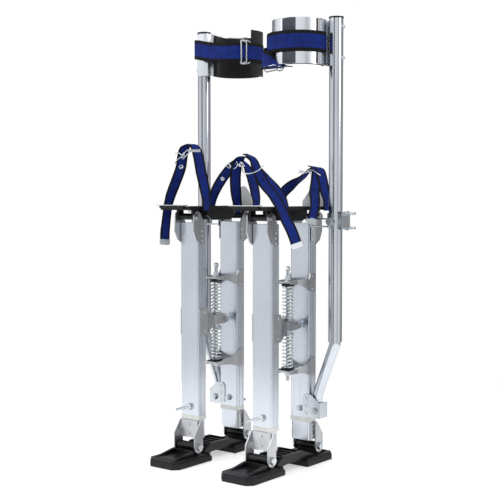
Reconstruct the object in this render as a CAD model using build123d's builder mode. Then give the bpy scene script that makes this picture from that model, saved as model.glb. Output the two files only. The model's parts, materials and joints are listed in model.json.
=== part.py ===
"""Pair of adjustable drywall stilts, one solid or group of solids per node.

Millimetres. +Z is up, -Y is forward (the toes) and +X is the wearer's left.
The origin is at floor level under the middle of the pair's bounding box.
Each stilt is a parallelogram: a foot, a front and a rear telescopic strut and a deck.
A leg tube on the outer side carries the calf band.
"""

import os
from math import cos, radians, sin

from build123d import *

os.makedirs("parts", exist_ok=True)

# ---------------------------------------------------------------- driving dimensions
RIGHT, LEFT = -1, 1                  # side of the wearer; also the outward direction along X
FRONT, REAR = -1, 1                  # strut; also its direction from the strut midpoint along Y
STILT_NAME = {RIGHT: "right", LEFT: "left"}
STRUT_NAME = {FRONT: "front", REAR: "rear"}

STILT_X = 109.0                      # stilt centre plane from the pair's middle
STRUT_Y = 74.0                       # strut centre from the strut midpoint
PIVOT_Y = 94.0                       # hinge axes from the strut midpoint
LOW_PIVOT_Z = 36.5
TOP_PIVOT_Z = 586.0
DECK_Z = 610.0                       # top of the deck at the lowest setting
TRAVEL = 406.0                       # height adjustment, 24 in to 40 in

PAD_WIDTH = 94.0
FRONT_PAD = (-192.0, -62.0)          # front and rear edges, from the strut midpoint
REAR_PAD = (27.0, 136.0)
SOLE = 12.0
PLATE = 7.0

OUTER = (55.0, 30.0)                 # strut tubes, along X and along Y
INNER = (50.0, 25.0)
OUTER_WALL = 2.0
INNER_WALL = 2.5
OUTER_Z = (109.0, 571.0)
INNER_Z = (54.0, 568.0)
LOCK_Z = 130.0
LOCK_R = 4.0
LEVER_R = 3.2
RUN = 0.06                           # radial clearance of pins in their holes
SHEET = 3.0                          # bracket sheet thickness

PIN_R = 5.0
BARREL_R = 10.0
WING_X = 30.5                        # inner face of the foot bracket wings
BARREL_X = WING_X - 0.4
WING_R = 15.0

ROD_Y = 11.0                         # spring rod, in the centre plane
ROD_R = 4.0
YOKE_Z = 332.0
YOKE_BOLT_Y = 25.0
SPRING_R = 11.5                      # mean coil radius
WIRE_R = 2.0
TURNS = 8
UPPER_SPRING = (349.0, 428.0)
LOWER_SPRING = (231.0, 311.0)
LOW_TAB_Z = 225.0
TOP_TAB_Z = 434.0

LEG_X = 90.7                         # leg tube axis, outward from the centre plane
LEG_R = 16.0
LEG_WALL = 2.0
LEG_Z = (295.0, 1045.0)
LEG_IN_R = 13.0
LEG_FOOT_X = 43.0                    # lower end of the bent tube
CLAMP_Z = 578.0
CLAMP_BOLT_X = 54.0                  # threaded ends, outward from the leg tube axis

BAND_R = 63.0                        # outside of the calf band
BAND_SHEET = 2.0
BAND_Z = (936.0, 1040.0)
BAND_Y = 36.0                        # band centre from the leg tube, along Y
PAD_FOAM = 8.0
BAND_START = -34.0                   # degrees from the leg tube's side, round the wrapped half
BAND_END = 196.0
STRAP_T = 2.6
CALF_STRAP_Z = (963.0, 1011.0)
CALF_STRAP_TURN = {RIGHT: (20.0, 262.0), LEFT: (-18.0, 312.0)}
TUBE_WRAP = ((0.0, -28.9), (35.0, -27.5), (70.0, -25.0), (92.0, -22.5), (106.0, -17.0), (112.0, -8.0), (112.5, 12.0))

DECK_HALF = 45.0
DECK_Y = (-146.0, 118.4)
DECK_T = 8.0
HEEL_Y = 121.0
WEBBING = 25.0

# Foot strap routes: outward, back, up, and the direction of the width in degrees from +X.
TOE_STRAP = {
    RIGHT: ((51.5, -119, 521, 70), (51.5, -117, 553, 72), (50.5, -111.5, 593, 78), (49.5, -107, 617, 76),
            (47, -100, 640, 62), (39.9, -94, 664, 50), (25, -91, 700, 45), (19.5, -90, 729, 50),
            (12, -90, 748, 68), (-4, -90, 757, 90), (-18, -88, 750, 72), (-26.5, -86, 728, 52),
            (-33, -84, 693, 48), (-42, -82, 654, 58), (-47.5, -82, 627, 80), (-48.5, -84, 601, 88)),
    LEFT: ((-48.5, -110, 597, 88), (-48.5, -115, 614, 82), (-50, -120, 640, 60), (-48, -125, 668, 52),
           (-44, -128, 692, 52), (-38, -128.5, 710, 60), (-26, -127, 722, 85), (-10.7, -122, 719, 100),
           (4, -113, 701, 95), (21.6, -100, 674, 80), (36.7, -86, 650, 70), (45, -74, 630, 74),
           (49, -68.5, 609, 84), (48.5, -67, 592, 88)),
}
HEEL_STRAP = {
    RIGHT: ((48.5, 51, 597, 90), (48.5, 53, 614, 86), (47, 58, 636, 70), (41, 68, 660, 55),
            (30, 81, 686, 50), (16, 92, 708, 58), (0, 100, 722, 80), (-13, 107, 716, 95),
            (-24, 112, 696, 70), (-33, 115, 670, 55), (-41, 114, 645, 58), (-48, 111, 622, 80),
            (-48.5, 109, 600, 90)),
    LEFT: ((-48.5, 40, 597, 90), (-48.5, 42, 618, 84), (-48, 62, 645, 75), (-42, 92, 664, 80),
           (-30, 112, 680, 90), (-18, 121, 695, 95), (-2, 124.5, 703, 90), (16, 119, 697, 65),
           (30, 110, 674, 58), (40, 102, 650, 60), (48, 100, 625, 82), (48.5, 100, 600, 90)),
}
LOOSE_TAILS = {
    RIGHT: (),
    LEFT: (((-14, -133, 728, 95), (3, -129, 718, 88), (12, -121, 691, 66), (24, -110, 660, 50),
            (44, -104, 636, 58), (55, -92, 608, 74), (54, -71, 583, 60), (54, -47, 553, 48),
            (54, -27, 520, 45)),
           ((-8, 118, 705.5, 90), (8, 112, 699, 78), (20, 96, 672, 60), (31, 74, 643, 50),
            (51, 48, 622, 66), (56, 35, 599, 72), (55, 25, 574, 55))),
}

RIVET_R = 3.2
RIVET_H = 1.6

BAND_X = LEG_X - LEG_R - BAND_R - 0.2
REAR_LIMIT = STRUT_Y + BAND_Y + BAND_R + STRAP_T + 0.4
STRUT_MID_Y = (-FRONT_PAD[0] - REAR_LIMIT) / 2   # centres the pair's box on the origin


# ---------------------------------------------------------------- planes and small helpers
def level(side, z, x=0.0, y=0.0):
    """Horizontal plane at height z, its origin x outward and y back from the stilt's middle."""
    return Plane((side * (STILT_X + x), STRUT_MID_Y + y, z))


def across(side, y, x=0.0, z=0.0):
    """Vertical plane facing forward: local x is +X and local y is +Z."""
    origin = (side * (STILT_X + x), STRUT_MID_Y + y, z)
    return Plane(origin, x_dir=(1, 0, 0), z_dir=(0, -1, 0))


def lengthwise(side, x, y=0.0, z=0.0):
    """Vertical plane facing +X: local x is +Y and local y is +Z."""
    origin = (side * STILT_X + x, STRUT_MID_Y + y, z)
    return Plane(origin, x_dir=(0, 1, 0), z_dir=(1, 0, 0))


def save(piece, side, name):
    """Label a finished sub-part and write its STEP file."""
    piece.part.label = f"{STILT_NAME[side]}_{name}"
    export_step(piece.part, f"parts/{piece.part.label}.step")


def rod_x(side, y, z, radius, x0, x1, mode=Mode.ADD):
    """Round bar along X between x0 and x1, measured from the stilt's centre plane."""
    with BuildSketch(lengthwise(side, x0, y, z)) as face:
        Circle(radius)
    extrude(face.sketch, amount=x1 - x0, mode=mode)


def rod_y(side, x, z, radius, y0, y1, mode=Mode.ADD):
    """Round bar along Y between y0 and y1; x is outward from the centre plane."""
    with BuildSketch(across(side, y1, x, z)) as face:
        Circle(radius)
    extrude(face.sketch, amount=y1 - y0, mode=mode)


def rod_z(side, x, y, radius, z0, z1, mode=Mode.ADD):
    """Round bar along Z between z0 and z1; x is outward from the centre plane."""
    with BuildSketch(level(side, z0, x, y)) as face:
        Circle(radius)
    extrude(face.sketch, amount=z1 - z0, mode=mode)


def hex_x(side, y, z, flat, x0, x1):
    """Hexagon head or nut along X."""
    with BuildSketch(lengthwise(side, x0, y, z)) as face:
        RegularPolygon(flat / 2, 6, major_radius=False)
    extrude(face.sketch, amount=x1 - x0)


def hex_y(side, x, z, flat, y0, y1):
    """Hexagon head or nut along Y."""
    with BuildSketch(across(side, y1, x, z)) as face:
        RegularPolygon(flat / 2, 6, major_radius=False)
    extrude(face.sketch, amount=y1 - y0)


def hex_z(side, x, y, flat, z0, z1):
    """Hexagon nut along Z."""
    with BuildSketch(level(side, z0, x, y)) as face:
        RegularPolygon(flat / 2, 6, major_radius=False)
    extrude(face.sketch, amount=z1 - z0)


def box(side, x0, x1, y0, y1, z0, z1, mode=Mode.ADD):
    """Block between two corners; x is outward from the centre plane."""
    with BuildSketch(level(side, z0, (x0 + x1) / 2, (y0 + y1) / 2)) as face:
        Rectangle(x1 - x0, y1 - y0)
    extrude(face.sketch, amount=z1 - z0, mode=mode)


def rivets_x(side, face_x, spots):
    """Rivet heads on a face that looks along X; face_x is signed, spots are (y, z)."""
    for y, z in spots:
        with BuildSketch(lengthwise(side, face_x, y, z)) as face:
            Circle(RIVET_R)
        extrude(face.sketch, amount=RIVET_H if face_x > 0 else -RIVET_H, taper=35)


def rivets_y(side, face_y, outward, spots):
    """Rivet heads on a face that looks along Y; spots are (x, z) with x outward."""
    for x, z in spots:
        with BuildSketch(across(side, face_y, x, z)) as face:
            Circle(RIVET_R)
        extrude(face.sketch, amount=-RIVET_H * outward, taper=35)


# ---------------------------------------------------------------- foot
def soles(side):
    """Rubber sole under each pad, with cut-off toe corners."""
    with BuildPart() as piece:
        for y0, y1 in (FRONT_PAD, REAR_PAD):
            with BuildSketch(level(side, 0, 0, (y0 + y1) / 2)):
                Rectangle(PAD_WIDTH, y1 - y0)
            extrude(amount=SOLE)
        chamfer(piece.edges().filter_by(Axis.Z).group_by(Axis.Y)[0], 14)
        chamfer(piece.edges().filter_by(Axis.Z).group_by(Axis.Y)[-1], 8)
        fillet(piece.edges().group_by(Axis.Z)[0], 1.5)
    save(piece, side, "soles")


def pad_plate(side, y0, y1, front_chamfer, rear_chamfer):
    """Plate on top of one sole, drawn in slightly at its upper edge."""
    depth = y1 - y0
    front = [(-PAD_WIDTH / 2 + front_chamfer, -depth / 2), (PAD_WIDTH / 2 - front_chamfer, -depth / 2)]
    rear = [(PAD_WIDTH / 2 - rear_chamfer, depth / 2), (-PAD_WIDTH / 2 + rear_chamfer, depth / 2)]
    right = [(PAD_WIDTH / 2, -depth / 2 + front_chamfer), (PAD_WIDTH / 2, depth / 2 - rear_chamfer)]
    left = [(-PAD_WIDTH / 2, depth / 2 - rear_chamfer), (-PAD_WIDTH / 2, -depth / 2 + front_chamfer)]
    with BuildSketch(level(side, SOLE, 0, (y0 + y1) / 2)) as face:
        Polygon(*front, *right, *rear, *left, align=None)
    extrude(face.sketch, amount=PLATE, taper=18)


def ramp(side, y_low, y_high, half_width, rise, rail):
    """Sloping top of a pad with a raised rail round a sunk middle."""
    top = SOLE + PLATE
    for inner, lift, mode in ((0.0, rise, Mode.ADD), (rail, rise - 3.0, Mode.SUBTRACT)):
        sign = 1 if y_high > y_low else -1
        base = top - 1.0 if mode == Mode.ADD else top + 1.5
        with BuildSketch(lengthwise(side, 0)) as face:
            Polygon(
                (y_low + sign * inner, base),
                (y_high - sign * inner, base),
                (y_high - sign * inner, top + rise + (0 if mode == Mode.ADD else 5)),
                (y_low + sign * inner, top + (0 if mode == Mode.ADD else 5)),
                align=None,
            )
        extrude(face.sketch, amount=half_width - inner, both=True, mode=mode)


def floor_plate(side):
    """Cast foot: two pads, an arched bridge and the barrels of both hinges."""
    with BuildPart() as piece:
        pad_plate(side, *FRONT_PAD, 14, 4)
        pad_plate(side, *REAR_PAD, 4, 8)
        ramp(side, FRONT_PAD[0] + 8, -PIVOT_Y - 16, 33, 12, 7)
        ramp(side, REAR_PAD[1] - 5, PIVOT_Y + 16, 30, 7, 5)
        bridge = ((-86, 17), (-50, 38), (24, 38), (86, 17), (40, 13), (12, 18), (-44, 18), (-70, 13))
        with BuildSketch(lengthwise(side, 0)) as outline:
            Polygon(*bridge, align=None)
            fillet(outline.vertices().group_by(Axis.Y)[-1], 9)
        extrude(amount=34, both=True)
        box(side, -26, 26, -60, 30, 30, 45, mode=Mode.SUBTRACT)
        for y in (-48, -30, -12, 6):
            box(side, -26, 26, y, y + 4, 28, 35)
        for s in (FRONT, REAR):
            clear_y = sorted((s * (PIVOT_Y - WING_R - 3), s * (PIVOT_Y + WING_R + 3)))
            box(side, -WING_X - 8, WING_X + 8, *clear_y, SOLE + PLATE, 60, mode=Mode.SUBTRACT)
            stem = sorted((s * (PIVOT_Y - 7), s * (PIVOT_Y + 7)))
            box(side, -BARREL_X + 4, BARREL_X - 4, *stem, SOLE + PLATE - 1, LOW_PIVOT_Z)
            rod_x(side, s * PIVOT_Y, LOW_PIVOT_Z, BARREL_R, -BARREL_X, BARREL_X)
            rod_x(side, s * PIVOT_Y, LOW_PIVOT_Z, PIN_R + RUN, -BARREL_X, BARREL_X, Mode.SUBTRACT)
    save(piece, side, "floor_plate")


def foot_pins(side):
    """Hinge bolts of the foot, with a hexagon head outside and a nut inside."""
    face = WING_X + SHEET + 0.3
    with BuildPart() as piece:
        for s in (FRONT, REAR):
            rod_x(side, s * PIVOT_Y, LOW_PIVOT_Z, PIN_R, -face - 7, face + 1)
            hex_x(side, s * PIVOT_Y, LOW_PIVOT_Z, 15, face, face + 6)
            hex_x(side, s * PIVOT_Y, LOW_PIVOT_Z, 14, -face - 5, -face)
    save(piece, side, "foot_pins")


# ---------------------------------------------------------------- struts
def inner_tube(side, s):
    """Lower strut tube with the slot that lets the height bolt travel."""
    with BuildPart() as piece:
        with BuildSketch(level(side, INNER_Z[0], 0, s * STRUT_Y)):
            RectangleRounded(*INNER, 3)
            RectangleRounded(INNER[0] - 2 * INNER_WALL, INNER[1] - 2 * INNER_WALL, 1, mode=Mode.SUBTRACT)
        extrude(amount=INNER_Z[1] - INNER_Z[0])
        slot_z = LOCK_Z + TRAVEL / 2
        with BuildSketch(across(side, s * STRUT_Y, 0, slot_z)):
            SlotCenterToCenter(TRAVEL + 4, 2 * LOCK_R + 1, rotation=90)
        extrude(amount=INNER[1], both=True, mode=Mode.SUBTRACT)
    save(piece, side, f"{STRUT_NAME[s]}_inner_tube")


def foot_bracket(side, s):
    """Riveted sheet bracket that joins an inner tube to the foot's hinge bolt."""
    face = STRUT_Y + INNER[1] / 2
    with BuildPart() as piece:
        web = sorted((s * face, s * (face + SHEET)))
        box(side, -INNER[0] / 2, INNER[0] / 2, *web, 56, 98)
        box(side, -WING_X - SHEET, WING_X + SHEET, *web, 56, 72)
        for x in (-WING_X - SHEET, WING_X):
            with BuildSketch(lengthwise(side, x)):
                Polygon(
                    (s * (PIVOT_Y - WING_R), LOW_PIVOT_Z),
                    (s * (PIVOT_Y - WING_R), 96),
                    (s * (PIVOT_Y - 7), 96),
                    (s * (PIVOT_Y + WING_R), 66),
                    (s * (PIVOT_Y + WING_R), LOW_PIVOT_Z),
                    align=None,
                )
                with Locations((s * PIVOT_Y, LOW_PIVOT_Z)):
                    Circle(WING_R)
                    Circle(PIN_R + RUN, mode=Mode.SUBTRACT)
            extrude(amount=SHEET)
        rivets_y(side, s * (face + SHEET), s, ((0, 88), (0, 66)))
        if s == REAR:
            for x in (-INNER[0] / 2 - SHEET, INNER[0] / 2):
                box(side, x, x + SHEET, 66, face + SHEET, 56, 98)
                head = x if x < 0 else x + SHEET
                rivets_x(side, head, ((71, 92), (81, 92), (71, 64), (81, 64)))
    save(piece, side, f"{STRUT_NAME[s]}_foot_bracket")


def outer_tube(side, s):
    """Upper strut tube with two lengthwise grooves down each side."""
    with BuildPart() as piece:
        with BuildSketch(level(side, OUTER_Z[0], 0, s * STRUT_Y)):
            RectangleRounded(*OUTER, 3.5)
            RectangleRounded(OUTER[0] - 2 * OUTER_WALL, OUTER[1] - 2 * OUTER_WALL, 1.5, mode=Mode.SUBTRACT)
            with GridLocations(OUTER[0], 12, 2, 2):
                Rectangle(1.6, 3, mode=Mode.SUBTRACT)
        extrude(amount=OUTER_Z[1] - OUTER_Z[0])
        rod_y(side, 0, LOCK_Z, LOCK_R + RUN, s * STRUT_Y - 20, s * STRUT_Y + 20, Mode.SUBTRACT)
    save(piece, side, f"{STRUT_NAME[s]}_outer_tube")


def bushing(side, s):
    """Nylon collar that guides the inner tube at the foot of the outer tube."""
    with BuildPart() as piece:
        with BuildSketch(level(side, OUTER_Z[0] - 10, 0, s * STRUT_Y)):
            RectangleRounded(OUTER[0] + 2, OUTER[1] + 1.6, 4)
            RectangleRounded(INNER[0] + 0.6, INNER[1] + 0.6, 3, mode=Mode.SUBTRACT)
        extrude(amount=10)
        chamfer(piece.edges().group_by(Axis.Z)[0].sort_by(SortBy.LENGTH)[-1], 0.5)
    save(piece, side, f"{STRUT_NAME[s]}_bushing")


def top_bracket(side, s):
    """Side plates riveted to an outer tube, with the deck's hinge bolt between them."""
    with BuildPart() as piece:
        for x in (-OUTER[0] / 2 - SHEET, OUTER[0] / 2):
            with BuildSketch(lengthwise(side, x)):
                Polygon(
                    (s * 70, 524),
                    (s * 70, 571),
                    (s * (PIVOT_Y - 11), TOP_PIVOT_Z + 6),
                    (s * (PIVOT_Y + 12), TOP_PIVOT_Z + 2),
                    (s * (PIVOT_Y + 14), 552),
                    (s * (PIVOT_Y + 4), 530),
                    (s * 80, 520),
                    align=None,
                )
                with Locations((s * PIVOT_Y, TOP_PIVOT_Z)):
                    Circle(12.5)
                    Circle(PIN_R, mode=Mode.SUBTRACT)
            extrude(amount=SHEET)
            head = x if x < 0 else x + SHEET
            rivets_x(side, head, ((s * 76, 552), (s * 76, 540), (s * 76, 528)))
        face = OUTER[0] / 2 + SHEET
        rod_x(side, s * PIVOT_Y, TOP_PIVOT_Z, PIN_R, -face - 7, face + 1)
        hex_x(side, s * PIVOT_Y, TOP_PIVOT_Z, 15, face, face + 6)
        hex_x(side, s * PIVOT_Y, TOP_PIVOT_Z, 14, -face - 5, -face)
    save(piece, side, f"{STRUT_NAME[s]}_top_bracket")


def lock_bolt(side, s):
    """Height bolt with a bent lever outside the strut and a nut inside it."""
    reach = {FRONT: -40.0, REAR: 28.0}[s]
    outer = s * (STRUT_Y + OUTER[1] / 2 + 0.3)
    inner = s * (STRUT_Y - OUTER[1] / 2 - 0.3)
    with BuildPart() as piece:
        rod_y(side, 0, LOCK_Z, LOCK_R, *sorted((outer + s * 5, inner - s * 8)))
        hex_y(side, 0, LOCK_Z, 15, *sorted((outer, outer + s * 6)))
        rod_y(side, 0, LOCK_Z, 9, *sorted((outer, outer + s * 1.5)))
        hex_y(side, 0, LOCK_Z, 13, *sorted((inner, inner - s * 6)))
        start = Vector(side * STILT_X, STRUT_MID_Y + outer + s * 4, LOCK_Z)
        tip = start + Vector(reach, 0, -abs(reach) * sin(radians(18)))
        with BuildSketch(Plane(start, z_dir=tip - start)):
            Circle(LEVER_R)
        extrude(amount=(tip - start).length)
        fillet(piece.faces().sort_by(Axis.X)[0 if reach < 0 else -1].edges(), 1)
    save(piece, side, f"{STRUT_NAME[s]}_lock_bolt")


# ---------------------------------------------------------------- spring mechanism
def bent_cheek(side, mirror, plan, profile):
    """Bent sheet cheek: a plan-view strip, cut to a side-view outline."""
    with BuildPart(mode=Mode.PRIVATE) as strip:
        with BuildSketch(level(side, 0)):
            with BuildLine():
                Polyline(*[(mirror * x, y) for x, y in plan])
            trace(line_width=SHEET)
        extrude(amount=700)
    with BuildPart(mode=Mode.PRIVATE) as slab:
        with BuildSketch(lengthwise(side, 0)):
            Polygon(*profile, align=None)
        extrude(amount=80, both=True)
    return strip.part & slab.part


def spring_arm(side):
    """Pair of cheeks from the front strut to the bolt that drives the yoke."""
    half = OUTER[0] / 2 + SHEET / 2
    plan = ((half, -STRUT_Y - 12), (half, -56), (16.5, -18), (16.5, 36))
    profile = ((-STRUT_Y - 12, 302), (-STRUT_Y - 12, 366), (-58, 366), (-50, 354), (-24, 346), (26, 341),
               (34, 337), (34, 327), (26, 323), (-8, 323), (-24, 320), (-38, 314), (-50, 307), (-58, 302))
    with BuildPart() as piece:
        for mirror in (-1, 1):
            add(bent_cheek(side, mirror, plan, profile))
            rivets_x(side, mirror * (half + SHEET / 2), ((-66, 357), (-66, 311)))
        rod_x(side, YOKE_BOLT_Y, YOKE_Z, LOCK_R, -24, 22)
        hex_x(side, YOKE_BOLT_Y, YOKE_Z, 13, 18, 24)
        hex_x(side, YOKE_BOLT_Y, YOKE_Z, 13, -23, -18)
    save(piece, side, "spring_arm")


def spring_brackets(side):
    """Upper and lower brackets that hold the spring rod in front of the rear strut."""
    half = OUTER[0] / 2 + SHEET / 2
    plan = ((half, STRUT_Y + 8), (half, 56), (18.5, 24), (18.5, -4))
    lower = ((STRUT_Y + 8, 211), (STRUT_Y + 8, 254), (62, 254), (50, 242), (36, 234), (20, 230), (-4, 229),
             (-4, 220), (40, 218), (62, 211))
    upper = ((STRUT_Y + 8, 409), (STRUT_Y + 8, 452), (62, 452), (56, 440), (-4, 438), (-4, 430),
             (20, 429), (36, 425), (50, 417), (62, 409))
    with BuildPart() as piece:
        for profile, tab_z, rivet_z in ((lower, LOW_TAB_Z, (217, 247)), (upper, TOP_TAB_Z, (416, 446))):
            for mirror in (-1, 1):
                add(bent_cheek(side, mirror, plan, profile))
                rivets_x(side, mirror * (half + SHEET / 2), [(68, z) for z in rivet_z])
            box(side, -19, 19, -4, 26, tab_z - 2, tab_z + 2)
            rod_z(side, 0, ROD_Y, ROD_R, tab_z - 3, tab_z + 3, Mode.SUBTRACT)
    save(piece, side, "spring_brackets")


def spring_rod(side):
    """Rod between the spring brackets, with its nuts and eye end."""
    eye_z, eye_r = 465, 6
    with BuildPart() as piece:
        rod_z(side, 0, ROD_Y, ROD_R, 202, eye_z - 4)
        hex_z(side, 0, ROD_Y, 14, LOW_TAB_Z - 9, LOW_TAB_Z - 2)
        hex_z(side, 0, ROD_Y, 14, TOP_TAB_Z + 2, TOP_TAB_Z + 9)
        hex_z(side, 0, ROD_Y, 12, TOP_TAB_Z + 9.4, TOP_TAB_Z + 14)
        with BuildSketch(lengthwise(side, -3, ROD_Y, eye_z)):
            Circle(eye_r)
            Circle(eye_r / 2, mode=Mode.SUBTRACT)
        extrude(amount=6)
    save(piece, side, "spring_rod")


def spring(side, name, span):
    """Compression spring round the rod, from one seat to the other."""
    low, high = span[0] + WIRE_R, span[1] - WIRE_R
    with BuildPart() as piece:
        with BuildLine(level(side, low, 0, ROD_Y)) as coil:
            Helix(pitch=(high - low) / TURNS, height=high - low, radius=SPRING_R)
        with BuildSketch(Plane(origin=coil.line @ 0, z_dir=coil.line % 0)):
            Circle(WIRE_R)
        sweep(is_frenet=True)
    save(piece, side, name)


def spring_yoke(side):
    """Sleeve that slides on the rod between the springs, with a slotted lug."""
    with BuildPart() as piece:
        rod_z(side, 0, ROD_Y, 9, LOWER_SPRING[1] + 1, UPPER_SPRING[0] - 1)
        rod_z(side, 0, ROD_Y, 14, LOWER_SPRING[1] + 1, LOWER_SPRING[1] + 4)
        rod_z(side, 0, ROD_Y, 14, UPPER_SPRING[0] - 4, UPPER_SPRING[0] - 1)
        with BuildSketch(lengthwise(side, -5)):
            Polygon((ROD_Y, YOKE_Z - 13), (36, YOKE_Z - 13), (36, YOKE_Z + 13), (ROD_Y, YOKE_Z + 13), align=None)
            with Locations((36, YOKE_Z)):
                Circle(13)
            with Locations((YOKE_BOLT_Y + 5, YOKE_Z)):
                SlotOverall(19, 2 * LOCK_R + 2, mode=Mode.SUBTRACT)
        extrude(amount=10)
        rod_z(side, 0, ROD_Y, ROD_R + RUN, LOWER_SPRING[1], UPPER_SPRING[0], Mode.SUBTRACT)
    save(piece, side, "spring_yoke")


# ---------------------------------------------------------------- leg tube and calf band
def lower_leg_tube(side):
    """Bent tube from the rear strut's foot up into the leg tube."""
    at = side * STILT_X
    y = STRUT_MID_Y + STRUT_Y
    points = [(at + side * LEG_X, y, 520), (at + side * LEG_X, y, 288),
              (at + side * LEG_FOOT_X, y, 165), (at + side * LEG_FOOT_X, y, 113)]
    with BuildPart() as piece:
        with BuildLine():
            FilletPolyline(*points, radius=50)
        with BuildSketch(Plane(points[0], z_dir=(0, 0, -1))):
            Circle(LEG_IN_R)
            Circle(LEG_IN_R - LEG_WALL, mode=Mode.SUBTRACT)
        sweep()
        rod_y(side, LEG_FOOT_X, 128, LOCK_R + RUN, STRUT_Y - 20, STRUT_Y + 20, Mode.SUBTRACT)
    save(piece, side, "lower_leg_tube")


def bar(side, y, z, x0, x1):
    """Threaded end of a clamp bolt."""
    rod_x(side, y, z, 3, x0, x1)


def nut(side, y, z, x0, x1):
    """Nut of a clamp bolt."""
    hex_x(side, y, z, 11, x0, x1)


def leg_tube_clamps(side):
    """Lower bracket with its bolt, and the clamp that holds the leg tube at deck height."""
    face = STRUT_Y - OUTER[1] / 2
    with BuildPart() as piece:
        with BuildSketch(across(side, face)) as plate:
            Polygon(*[(side * x, z) for x, z in ((11, 118), (11, 158), (17, 166), (34, 166), (60, 147), (60, 111), (28, 111))],
                    align=None)
        extrude(plate.sketch, amount=SHEET)
        box(side, 57, 60, face - SHEET, face + 30, 111, 148)
        rod_y(side, LEG_FOOT_X, 128, LOCK_R, face - 10, STRUT_Y + 22)
        hex_y(side, LEG_FOOT_X, 128, 14, face - SHEET - 6, face - SHEET)
        hex_y(side, LEG_FOOT_X, 128, 13, STRUT_Y + LEG_IN_R, STRUT_Y + LEG_IN_R + 6)
        rivets_y(side, face - SHEET, -1, ((22, 158), (22, 140), (22, 121)))

        inner = OUTER[0] / 2 + SHEET
        ring = LEG_R + 0.3
        box(side, inner, inner + SHEET, STRUT_Y - 16, STRUT_Y + 10, 560, 585)
        for z in (562, 580):
            box(side, inner, LEG_X - ring - 1, STRUT_Y - 13, STRUT_Y + 10, z, z + SHEET)
        rod_z(side, LEG_X, STRUT_Y, ring + SHEET, CLAMP_Z - 17, CLAMP_Z + 17)
        box(side, LEG_X + 10, LEG_X + 26, STRUT_Y - 11, STRUT_Y + 11, CLAMP_Z - 15, CLAMP_Z + 15)
        box(side, LEG_X + 26, LEG_X + 29, STRUT_Y - 17, STRUT_Y + 17, CLAMP_Z - 20, CLAMP_Z + 20)
        for z in (CLAMP_Z - 16.5, CLAMP_Z + 16.5):
            for reach, draw in ((LEG_X + CLAMP_BOLT_X, bar), (LEG_X + 35, nut)):
                ends = sorted((side * (LEG_X + 28), side * reach))
                draw(side, STRUT_Y, z, *ends)
        rod_y(side, LEG_X, CLAMP_Z - 2, 9, STRUT_Y - 25, STRUT_Y - ring)
        hex_y(side, LEG_X, CLAMP_Z - 2, 14, STRUT_Y - 31, STRUT_Y - 25)
        rod_z(side, LEG_X, STRUT_Y, ring, CLAMP_Z - 30, CLAMP_Z + 30, Mode.SUBTRACT)
    save(piece, side, "leg_tube_clamps")


def upper_leg_tube(side):
    """Leg tube that carries the calf band and slides on the lower tube."""
    with BuildPart() as piece:
        with BuildSketch(level(side, LEG_Z[0], LEG_X, STRUT_Y)):
            Circle(LEG_R)
            Circle(LEG_R - LEG_WALL, mode=Mode.SUBTRACT)
        extrude(amount=LEG_Z[1] - LEG_Z[0])
        fillet(piece.edges().group_by(Axis.Z)[-1], 0.6)
    save(piece, side, "upper_leg_tube")


def band_frame(side):
    """Centre of the calf band and the direction, forward or back, that it wraps."""
    wrap = FRONT if side == LEFT else REAR
    return STRUT_Y + wrap * BAND_Y, wrap


def arc_wall(side, r_in, r_out, start, end, z0, z1):
    """Curved wall; angles run from the leg tube's side round the wrapped half."""
    centre_y, wrap = band_frame(side)
    span = end - start

    def spot(radius, angle):
        turn = radians(angle)
        return (side * radius * cos(turn), wrap * radius * sin(turn))

    middle = start + span / 2
    with BuildSketch(level(side, z0, BAND_X, centre_y)) as face:
        with BuildLine():
            ThreePointArc(spot(r_out, start), spot(r_out, middle), spot(r_out, end))
            Line(spot(r_out, end), spot(r_in, end))
            ThreePointArc(spot(r_in, end), spot(r_in, middle), spot(r_in, start))
            Line(spot(r_in, start), spot(r_out, start))
        make_face()
    extrude(face.sketch, amount=z1 - z0)


def calf_band(side):
    """Sheet metal band round the calf, its end hooked round the leg tube."""
    _, wrap = band_frame(side)
    turn = radians(BAND_START)
    middle = BAND_R - BAND_SHEET / 2
    start = (BAND_X + middle * cos(turn), BAND_Y + middle * sin(turn))
    hook = (start, (LEG_X - 24, -3.5), (LEG_X - 21.5, -12), (LEG_X - 14, -LEG_R - 2), (LEG_X + 7, -LEG_R - 2))
    with BuildPart() as piece:
        arc_wall(side, BAND_R - BAND_SHEET, BAND_R, BAND_START, BAND_END, *BAND_Z)
        with BuildSketch(level(side, BAND_Z[0], 0, STRUT_Y)) as end:
            with BuildLine():
                Polyline(*[(side * x, wrap * y) for x, y in hook])
            trace(line_width=BAND_SHEET)
        extrude(end.sketch, amount=BAND_Z[1] - BAND_Z[0])
    save(piece, side, "calf_band")


def calf_pad(side):
    """Foam lining of the band."""
    with BuildPart() as piece:
        outer = BAND_R - BAND_SHEET - 0.3
        arc_wall(side, outer - PAD_FOAM, outer, BAND_START + 2, BAND_END - 2, BAND_Z[0] + 5, BAND_Z[1] - 5)
    save(piece, side, "calf_pad")


def calf_strap(side):
    """Strap round the outside of the band and across its opening."""
    start, end = CALF_STRAP_TURN[side]
    with BuildPart() as piece:
        arc_wall(side, BAND_R + 0.4, BAND_R + 0.4 + STRAP_T, start, end, *CALF_STRAP_Z)
        if side == RIGHT:
            with BuildSketch(level(side, CALF_STRAP_Z[0], 0, STRUT_Y)) as front:
                with BuildLine():
                    Polyline(*[(side * x, y) for x, y in TUBE_WRAP])
                trace(line_width=STRAP_T)
            extrude(front.sketch, amount=CALF_STRAP_Z[1] - CALF_STRAP_Z[0])
    save(piece, side, "calf_strap")


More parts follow.
